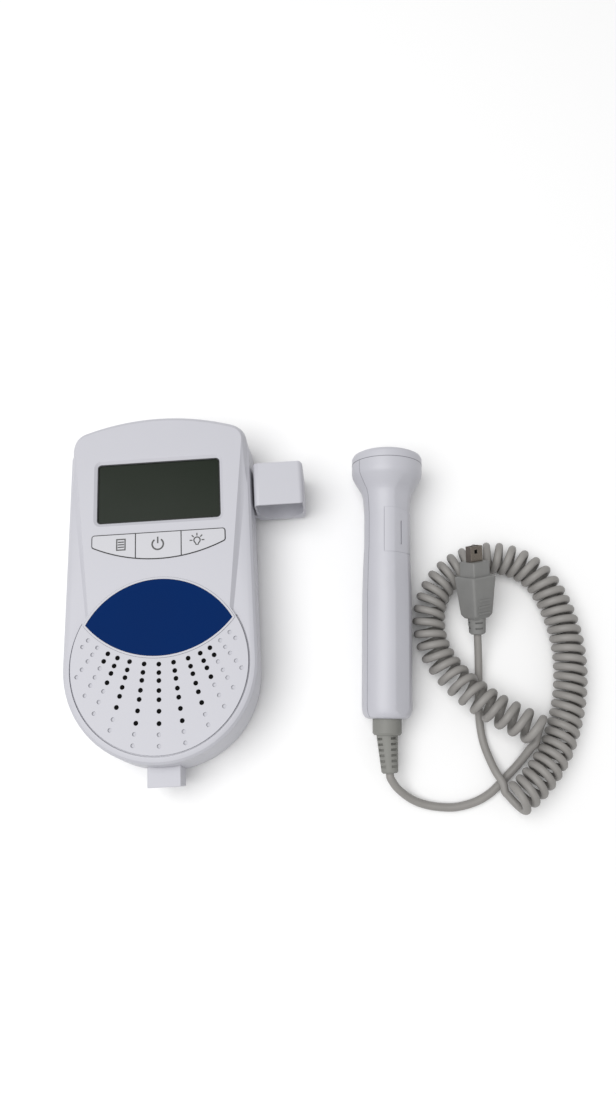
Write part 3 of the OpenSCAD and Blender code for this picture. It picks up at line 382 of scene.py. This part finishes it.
# %% Small finishes
pane = moulded("display_pane", (0.010, 0.015, 0.009), 0.22, grain=0.0, clouds=0.05,
               Specular_IOR_Level=0.1)
navy = moulded("badge_navy", (0.0, 0.017, 0.098), 0.35, grain=0.1, clouds=0.06,
               Specular_IOR_Level=0.02)
# Black plastic also colours the thin dark tubes of painted shade round the buttons and the display.
black = moulded("black_plastic_and_shade", (0.012, 0.012, 0.013), 0.4)
print_grey = moulded("icon_ink", (0.06, 0.06, 0.06), 0.55, grain=0.0)
board_green = moulded("board_green", (0.02, 0.13, 0.06), 0.35)
nickel = moulded("nickel", (0.24, 0.21, 0.18), 0.24, grain=0.1, Metallic=1.0)
sleeve = moulded("cell_sleeve", (0.05, 0.055, 0.07), 0.3)
ceramic = moulded("ceramic", (0.7, 0.66, 0.5), 0.6)
lcd_grey = moulded("display_module", (0.06, 0.07, 0.055), 0.4)
# Foam black also colours the discs of painted shade behind the grille holes.
foam_and_hole_shade = moulded("foam_black_and_hole_shade", (0.004, 0.004, 0.004), 0.9, Specular_IOR_Level=0.1)
# The seam grey colours only lines of painted shade: the probe's seams and the badge rim's foot.
shade_grey = moulded("seam_shade_grey", (0.13, 0.13, 0.15), 0.6)
# The pad grey colours only the painted shadow at the foot of the thumb pad.
pad_shade = moulded("pad_foot_shadow_grey", (0.3, 0.3, 0.33), 0.5)
print("small finishes ready")

# %% [markdown]
# Each of the model's solids arrives as a node with a plain colour. The solids already have the
# right shape, so most need only a finish, which is put in the place of that colour.

# %% Dressing the frame's nodes
FINISHES = {
    white: ["front_cover", "rear_cover", "battery_door", "volume_wheel", "probe_socket",
            "probe_holder", "probe_front_shell", "probe_rear_shell", "probe_cap"],
    cap_white: ["menu_button", "power_button", "lamp_button"],
    collar_grey: ["probe_collar", "probe_relief"],
    plug_grey: ["plug_relief", "plug_body"],
    pane: ["lcd_window"],
    lcd_grey: ["lcd_module"],
    navy: ["badge"],
    board_green: ["main_board", "probe_board"],
    black: ["board_chips", "tact_switches", "speaker_basket", "speaker_cone", "headphone_jack",
            "volume_pot", "plug_insert"],
    nickel: ["board_screws", "case_screws", "speaker_magnet", "battery_contacts",
             "battery_springs", "socket_contacts", "plug_shell"],
    foam_and_hole_shade: ["speaker_gasket", "crystal_backing"],
    sleeve: ["battery_a", "battery_b"],
    ceramic: ["transducer_crystals"],
}
for finish, names in FINISHES.items():
    for name in names:
        nodes[name].data.materials.clear()
        nodes[name].data.materials.append(finish)
print("nodes with a finish:", sum(len(names) for names in FINISHES.values()))

# %% [markdown]
# ## Softened edges
# No moulded edge is perfectly sharp: a radius of a tenth to a third of a millimetre catches a
# thin line of light, and without it a solid looks cut from paper. The bevel modifier rounds only
# the edges that turn by more than 35 degrees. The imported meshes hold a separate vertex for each
# face at a sharp edge, so a weld comes first, or the bevel would find no edge to work on.

# %% Bevels on the nodes
SOFT_EDGES = {"probe_holder": 0.3, "probe_socket": 0.25, "battery_door": 0.2, "menu_button": 0.12,
              "power_button": 0.12, "lamp_button": 0.12, "plug_shell": 0.08, "volume_wheel": 0.1}
MERGE, SHARP_TURN = 1e-6, 35


def soften(name, radius):
    node = nodes[name]
    node.modifiers.new("weld", "WELD").merge_threshold = MERGE
    bevel = node.modifiers.new("soft_edge", "BEVEL")
    bevel.width, bevel.segments = radius * MM, 2
    bevel.limit_method, bevel.angle_limit = "ANGLE", math.radians(SHARP_TURN)
    bevel.harden_normals = False
    bevel.use_clamp_overlap = True


for name, radius in SOFT_EDGES.items():
    soften(name, radius)
print("softened:", len(SOFT_EDGES))

# %% [markdown]
# The probe's flare and the case's rounded edges are chains of narrow faces, which would show as
# bands. They are shaded as one smooth surface wherever neighbours turn by less than 34 degrees,
# or 26 on the case, so that the border of its display stays crisp: weld, split again at the
# sharper edges, and let the large faces decide the normals, so that flat panels stay flat.

# %% Smooth shading on the moulded skins
SMOOTH_SKINS = {"front_cover": 26, "rear_cover": 26, "probe_front_shell": 34,
                "probe_rear_shell": 34, "probe_cap": 34, "probe_collar": 34, "probe_relief": 34,
                "plug_body": 34}
LARGE_FACE_WEIGHT = 60


def smooth_skin(name, turn):
    node = nodes[name]
    node.data.polygons.foreach_set("use_smooth", [True] * len(node.data.polygons))
    node.modifiers.new("weld", "WELD").merge_threshold = MERGE
    split = node.modifiers.new("sharp", "EDGE_SPLIT")
    split.split_angle, split.use_edge_sharp = math.radians(turn), False
    normals = node.modifiers.new("flat_panels", "WEIGHTED_NORMAL")
    normals.mode, normals.weight = "FACE_AREA", LARGE_FACE_WEIGHT


for name, turn in SMOOTH_SKINS.items():
    smooth_skin(name, turn)
print("smooth skins:", len(SMOOTH_SKINS))

# %% [markdown]
# ## Lines between the parts
# Where two mouldings meet there is a gap a few tenths of a millimetre wide, and it reads as a
# dark line because hardly any light comes back out of it. Each line is a thin dark tube of
# painted shade sunk in its gap. They follow the same outlines as the solids.

# %% Helpers for outlines
FACE_Z = 26.0


def arc_points(cx, cy, radius, start, end, steps, z):
    """Points on an arc, from one angle to another in degrees."""
    angles = [math.radians(start + (end - start) * i / steps) for i in range(steps + 1)]
    return [Vector((cx + radius * math.cos(a), cy + radius * math.sin(a), z)) for a in angles]


def dark_line(name, points, width, body, finish=None, loop=False):
    line = tube(name, points, width, 2, loop)
    line.data.materials.append(finish or black)
    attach(line, body)


print("line helpers ready")

# %% [markdown]
# The three buttons share one opening: straight above, a shallow arc below, with small round
# corners. The same outline in points gives the painted shadow round the whole group, and two
# short lines of painted shade part the buttons.

# %% Shadow round the buttons
BUTTONS_TOP, BUTTONS_HALF, BUTTONS_MID_H, BUTTONS_END_H = 19.0, 25.5, 10.1, 4.4
BUTTON_CORNER, JOINT_X, GAP = 0.8, 8.8, 0.4
SHADOW_D, JOINT_SHADE_D = 0.44, 0.5
SAG = BUTTONS_MID_H - BUTTONS_END_H
ARC_R = (BUTTONS_HALF ** 2 + SAG ** 2) / (2 * SAG)
ARC_Y = BUTTONS_TOP - BUTTONS_MID_H + ARC_R


def group_outline(grow, z):
    round_x, round_r = BUTTONS_HALF - BUTTON_CORNER, BUTTON_CORNER + grow
    low_y = ARC_Y - math.sqrt((ARC_R - BUTTON_CORNER) ** 2 - round_x ** 2)
    lean = math.degrees(math.atan2(ARC_Y - low_y, round_x))
    points = arc_points(round_x, BUTTONS_TOP - BUTTON_CORNER, round_r, 0, 90, 5, z)
    points += arc_points(-round_x, BUTTONS_TOP - BUTTON_CORNER, round_r, 90, 180, 5, z)
    points += arc_points(-round_x, low_y, round_r, 180, 360 - lean - 2 * (90 - lean), 4, z)
    points += arc_points(0, ARC_Y, ARC_R + grow, 180 + lean, 360 - lean, 40, z)
    points += arc_points(round_x, low_y, round_r, 360 - lean, 360, 4, z)
    return points


dark_line("button_gap_shadow", group_outline(GAP / 2, FACE_Z - 0.02), SHADOW_D, "unit", loop=True)
# The two joint lines are painted shade in the gaps between the buttons.
for side in (-1, 1):
    x = side * JOINT_X
    foot = ARC_Y - math.sqrt(ARC_R ** 2 - x ** 2)
    dark_line("button_joint_" + ("left" if side < 0 else "right"),
              [Vector((x, y, FACE_Z)) for y in (foot, BUTTONS_TOP)], JOINT_SHADE_D, "unit")
print("arc under the buttons:", round(ARC_R, 2), "mm radius")

# %% [markdown]
# The display sits in a shallow pocket whose inner wall lies in shade; a thin dark tube of painted
# shade makes that band just inside the opening.

# %% Painted shade round the display
WINDOW_Y, WINDOW_W, WINDOW_H, WINDOW_CORNER = 36.2, 48.3, 24.5, 1.6
EDGE_SHADE_D = 0.5
edge_shade_half = (WINDOW_W / 2 - WINDOW_CORNER, WINDOW_H / 2 - WINDOW_CORNER)
edge_shade_line = []
for quarter, (sx, sy) in enumerate([(1, 1), (-1, 1), (-1, -1), (1, -1)]):
    edge_shade_line += arc_points(sx * edge_shade_half[0], WINDOW_Y + sy * edge_shade_half[1],
                              WINDOW_CORNER - EDGE_SHADE_D / 2, 90 * quarter, 90 * quarter + 90, 6,
                              FACE_Z - 1)
dark_line("display_edge_shade", edge_shade_line, EDGE_SHADE_D, "unit", loop=True)
print("gasket points:", len(edge_shade_line))

# %% [markdown]
# Behind each open hole of the grille sits one small black disc of painted shade, where the inside
# of the case lies in shade. Only a round shows in each hole, so it is made as one disc per hole.

# %% Painted shade behind the grille
FOOT_Y, FAN_Y = -31.0, 7.7
GRILLE_RINGS = [39.1, 42.2, 45.1, 48.7, 52, 56.1, 60.5, 64.4, 68.4]
GRILLE_COLUMNS = [(0, 7), (8, 7), (16.1, 6), (23.1, 4), (29, 2)]
HOLE_SHADE_Z, HOLE_SHADE_R, HOLE_SHADE_T, HOLE_SHADE_SIDES = FACE_Z - 0.75, 0.88, 0.1, 20
hole_shade_mesh = bmesh.new()
for turn, count in GRILLE_COLUMNS:
    for side in ((1,) if turn == 0 else (-1, 1)):
        for ring in GRILLE_RINGS[:count]:
            a = math.radians(turn)
            at = Vector((side * ring * math.sin(a), FAN_Y - ring * math.cos(a), HOLE_SHADE_Z))
            bmesh.ops.create_cone(hole_shade_mesh, cap_ends=True, segments=HOLE_SHADE_SIDES,
                                  radius1=HOLE_SHADE_R * MM, radius2=HOLE_SHADE_R * MM, depth=HOLE_SHADE_T * MM,
                                  matrix=Matrix.Translation(at * MM))
hole_shade_data = bpy.data.meshes.new("grille_hole_shade")
hole_shade_mesh.to_mesh(hole_shade_data)
hole_shade_mesh.free()
hole_shade = bpy.data.objects.new("grille_hole_shade", hole_shade_data)
bpy.context.scene.collection.objects.link(hole_shade)
hole_shade_data.materials.append(foam_and_hole_shade)
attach(hole_shade, "unit")
print("open holes:", len(hole_shade_data.polygons) // (HOLE_SHADE_SIDES + 2))

# %% [markdown]
# The badge has a thin raised rim, and the shade at its foot is what sets the badge off; it is
# painted as a thin grey line. The rim's two arcs are the ones in the solid, drawn out by the rim's
# width.

# %% Painted shade round the badge
BADGE_UP_R, BADGE_LOW_R, BADGE_RIM, BADGE_SHADE_D = 31.6, 36.0, 0.8, 0.16


def badge_line(grow, z):
    up, low, span = BADGE_UP_R + grow, BADGE_LOW_R + grow, FAN_Y - FOOT_Y
    tip = (span ** 2 + up ** 2 - low ** 2) / (2 * span)
    half_up, half_low = math.acos(tip / up), math.acos((span - tip) / low)
    half_up, half_low = math.degrees(half_up), math.degrees(half_low)
    upper = arc_points(0, FOOT_Y, up, 90 - half_up, 90 + half_up, 60, z)
    return upper + arc_points(0, FAN_Y, low, 270 - half_low, 270 + half_low, 60, z)[1:-1]


dark_line("badge_foot_shade", badge_line(BADGE_RIM + 0.02, FACE_Z + 0.02), BADGE_SHADE_D, "unit",
          shade_grey, loop=True)
print("badge line points:", len(badge_line(0, 0)))

# %% [markdown]
# ## The probe's seams
# The handle is two shells that meet in a plane through its axis, and the head's cap closes them.
# Their seams are shown by thin grey tubes of painted shade. The seam's outline is turned and
# placed exactly as the probe is.

# %% Painted shade in the probe's seams
PROBE_AT, PROBE_YAW, PROBE_PITCH, PROBE_ROLL = Vector((82.75, -54.8, 9.65)), 4.3, 2.6, 37
HEAD_SEAM, CAP_SEAM_R, CAP_SEAM_D = 99.5, 13.9, 0.26
SEAM_D, SEAM_SINK = 0.2, 0.04
PROBE_OUTLINE = [(8.25, 0.45), (9.1, 1.6), (9.45, 3.2), (9.55, 4.8), (9.55, 47), (9.3, 57),
                 (9.05, 63), (8.9, 66.5), (8.9, 78.5), (9.15, 82.5), (9.5, 86), (10.15, 88.3),
                 (13.05, 93.1), (13.7, 94.5), (13.95, 95.9), (13.95, 99.4)]


def turned(degrees, axis):
    return Matrix.Rotation(math.radians(degrees), 4, axis)


probe_place = (Matrix.Translation(PROBE_AT) @ turned(-PROBE_YAW, "Z") @ turned(PROBE_PITCH, "X")
               @ turned(-90, "X") @ turned(PROBE_ROLL, "Z"))
for side, tag in ((-1, "left"), (1, "right")):
    dark_line("probe_seam_" + tag, [probe_place @ Vector((side * (r - SEAM_SINK), 0, h))
                                    for r, h in PROBE_OUTLINE], SEAM_D, "probe", shade_grey)
cap_ring = arc_points(0, 0, CAP_SEAM_R, 0, 354, 59, HEAD_SEAM)
dark_line("probe_cap_seam_shade", [probe_place @ p for p in cap_ring], CAP_SEAM_D, "probe", shade_grey,
          loop=True)
print("probe seams placed, head at", [round(v, 1) for v in probe_place @ Vector((0, 0, HEAD_SEAM))])

# %% [markdown]
# The thumb pad on the neck stands only three tenths of a millimetre proud. The painted shadow line
# at its foot is what shows it, so it is drawn along the pad's left, lower and upper edges. The neck
# is round with one flat facet, and the line follows both.

# %% Foot of the thumb pad
PAD_HALF, PAD_LO, PAD_HI, PAD_DROP, PAD_BEND = 6.5, 62.7, 80.3, 1.4, -1.5
NECK_R, FACET = 9.0, 0.953


def on_neck(x, h):
    return probe_place @ Vector((x, -min(math.sqrt(NECK_R ** 2 - x * x), FACET * NECK_R), h))


across = [-PAD_HALF + 2 * PAD_HALF * i / 26 for i in range(27)]
pad_line = [on_neck(x, PAD_HI - PAD_DROP * max(0, (x - PAD_BEND) / (PAD_HALF - PAD_BEND)))
            for x in across[::-1]]
pad_line += [on_neck(-PAD_HALF, PAD_HI - (PAD_HI - PAD_LO) * i / 12) for i in range(1, 12)]
pad_line += [on_neck(x, PAD_LO) for x in across]
dark_line("probe_pad_line", pad_line, SEAM_D, "probe", pad_shade)
print("pad line points:", len(pad_line))

# %% [markdown]
# ## Printed icons
# The button caps carry plain printed signs: a list, a power sign and a lamp. Ink is a film, so
# each sign is a set of flat strips a few hundredths of a millimetre thick, riding on its button.

# %% Strips of ink
INK_Z = 26.25
INK_T = 0.04


def ink_sign(name, shapes, body):
    """Flat outlines in mm, given in order round each shape, raised to a thin film."""
    sign = bmesh.new()
    for shape in shapes:
        for z, flip in ((INK_Z - INK_T, True), (INK_Z + INK_T, False)):
            corners = [sign.verts.new((x * MM, y * MM, z * MM)) for x, y in shape]
            sign.faces.new(corners[::-1] if flip else corners)
            if flip:
                low = corners
        for i in range(len(shape)):
            j = (i + 1) % len(shape)
            sign.faces.new((low[i], low[j], corners[j], corners[i]))
    data = bpy.data.meshes.new(name)
    sign.to_mesh(data)
    sign.free()
    obj = bpy.data.objects.new(name, data)
    bpy.context.scene.collection.objects.link(obj)
    data.materials.append(print_grey)
    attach(obj, body)


print("ink is", 2 * INK_T, "mm thick")

# %% [markdown]
# A stroke is one straight strip, and an arc is a chain of short strips whose ends lie on the
# same radius, so that they meet without a notch.

# %% Strokes and arcs
def strip(a, b, width):
    """The four corners of a straight strip."""
    along = (Vector(b) - Vector(a)).normalized() * width / 2
    side = Vector((-along.y, along.x))
    return [tuple(Vector(a) - side), tuple(Vector(b) - side), tuple(Vector(b) + side),
            tuple(Vector(a) + side)]


def ring_strips(cx, cy, radius, width, start, end, steps):
    """An arc of short strips with mitred ends."""
    shapes = []
    for i in range(steps):
        a0, a1 = (math.radians(start + (end - start) * (i + k) / steps) for k in (0, 1))
        low, high = radius - width / 2, radius + width / 2
        shapes.append([(cx + r * math.cos(a), cy + r * math.sin(a))
                       for r, a in ((low, a0), (high, a0), (high, a1), (low, a1))])
    return shapes


print("stroke helpers ready")

# %% [markdown]
# The list is a frame of four strokes with three lines in it. The power sign is a ring that is
# open at the top, with one bar in the opening.

# %% The list and the power sign
LIST_X, LIST_Y, LIST_W, LIST_H, FRAME_STROKE = -14.4, 15.0, 3.7, 4.2, 0.48
LINE_HALF, LINE_STROKE = 1.2, 0.46
half_w, half_h, half_stroke = LIST_W / 2, LIST_H / 2, FRAME_STROKE / 2
list_sign = [strip((LIST_X - half_w, y), (LIST_X + half_w, y), FRAME_STROKE)
             for y in (LIST_Y - half_h, LIST_Y + half_h)]
list_sign += [strip((x, LIST_Y - half_h + half_stroke), (x, LIST_Y + half_h - half_stroke),
                    FRAME_STROKE)
              for x in (LIST_X - half_w + half_stroke, LIST_X + half_w - half_stroke)]
list_sign += [strip((LIST_X - LINE_HALF, LIST_Y + dy), (LIST_X + LINE_HALF, LIST_Y + dy),
                    LINE_STROKE) for dy in (-1, 0, 1)]
ink_sign("sign_list", list_sign, "menu_button")

POWER_X, POWER_Y, POWER_R = -0.2, 14.4, 2.15
POWER_RING_STROKE, POWER_BAR_STROKE = 0.62, 0.55
power_sign = ring_strips(POWER_X, POWER_Y, POWER_R, POWER_RING_STROKE, 125, 415, 30)
power_sign.append(strip((POWER_X, POWER_Y + 0.3), (POWER_X, POWER_Y + 2.9), POWER_BAR_STROKE))
ink_sign("sign_power", power_sign, "power_button")
print("strips:", len(list_sign), len(power_sign))

# %% [markdown]
# The lamp's bulb is an open ring, with two short strips for its neck, one for its foot, and five
# rays that stand clear of the ring.

# %% The lamp sign
LAMP_X, LAMP_Y, BULB_R, BULB_STROKE = 14.9, 15.0, 1.2, 0.48
RAY_FROM, RAY_TO, RAY_STROKE, FOOT_STROKE = 1.75, 2.85, 0.45, 0.4
lamp_sign = ring_strips(LAMP_X, LAMP_Y, BULB_R, BULB_STROKE, -50, 230, 24)
lamp_sign += [strip((LAMP_X + side * 0.74, LAMP_Y - 0.88), (LAMP_X + side * 0.5, LAMP_Y - 1.5),
                    RAY_STROKE) for side in (-1, 1)]
lamp_sign.append(strip((LAMP_X - 0.62, LAMP_Y - 1.72), (LAMP_X + 0.62, LAMP_Y - 1.72),
                       FOOT_STROKE))
for degrees in (0, 45, 90, 135, 180):
    ray = Vector((math.cos(math.radians(degrees)), math.sin(math.radians(degrees))))
    centre = Vector((LAMP_X, LAMP_Y))
    lamp_sign.append(strip(tuple(centre + RAY_FROM * ray), tuple(centre + RAY_TO * ray),
                           RAY_STROKE))
ink_sign("sign_lamp", lamp_sign, "lamp_button")
print("strips of the lamp:", len(lamp_sign))

# %% [markdown]
# ## The studio
# A pale floor, a large soft light overhead and a bright even surround, as in a light tent. The
# light stands to the left, where the glossy display doesn't mirror it into the camera.

# %% Floor and lights
WINDOW_AT, WINDOW_SIZE, WINDOW_POWER = (-0.35, -0.05, 1.2), 1.2, 13
SURROUND = 0.55
FLOOR_SIZE = 4


def area_light(name, at, size, power, towards=(0.05, -0.02, 0)):
    data = bpy.data.lights.new(name, "AREA")
    data.shape, data.size, data.energy = "DISK", size, power
    light = bpy.data.objects.new(name, data)
    light.location = at
    light.rotation_euler = (Vector(towards) - Vector(at)).to_track_quat("-Z", "Y").to_euler()
    bpy.context.scene.collection.objects.link(light)


bpy.ops.mesh.primitive_plane_add(size=FLOOR_SIZE, location=(0.05, 0, 0))
floor = bpy.context.object
floor.name = "floor"
floor_finish = Recipe("floor_white", Base_Color=(0.9, 0.9, 0.9, 1), Roughness=0.9)
floor.data.materials.append(floor_finish.material)
area_light("window", WINDOW_AT, WINDOW_SIZE, WINDOW_POWER)
world = bpy.data.worlds.new("surround")
world.use_nodes = True
world.node_tree.nodes["Background"].inputs["Color"].default_value = (1, 1, 1, 1)
world.node_tree.nodes["Background"].inputs["Strength"].default_value = SURROUND
bpy.context.scene.world = world
bpy.context.scene.view_settings.view_transform = "Standard"
print("light of", WINDOW_POWER, "W, surround of", SURROUND)
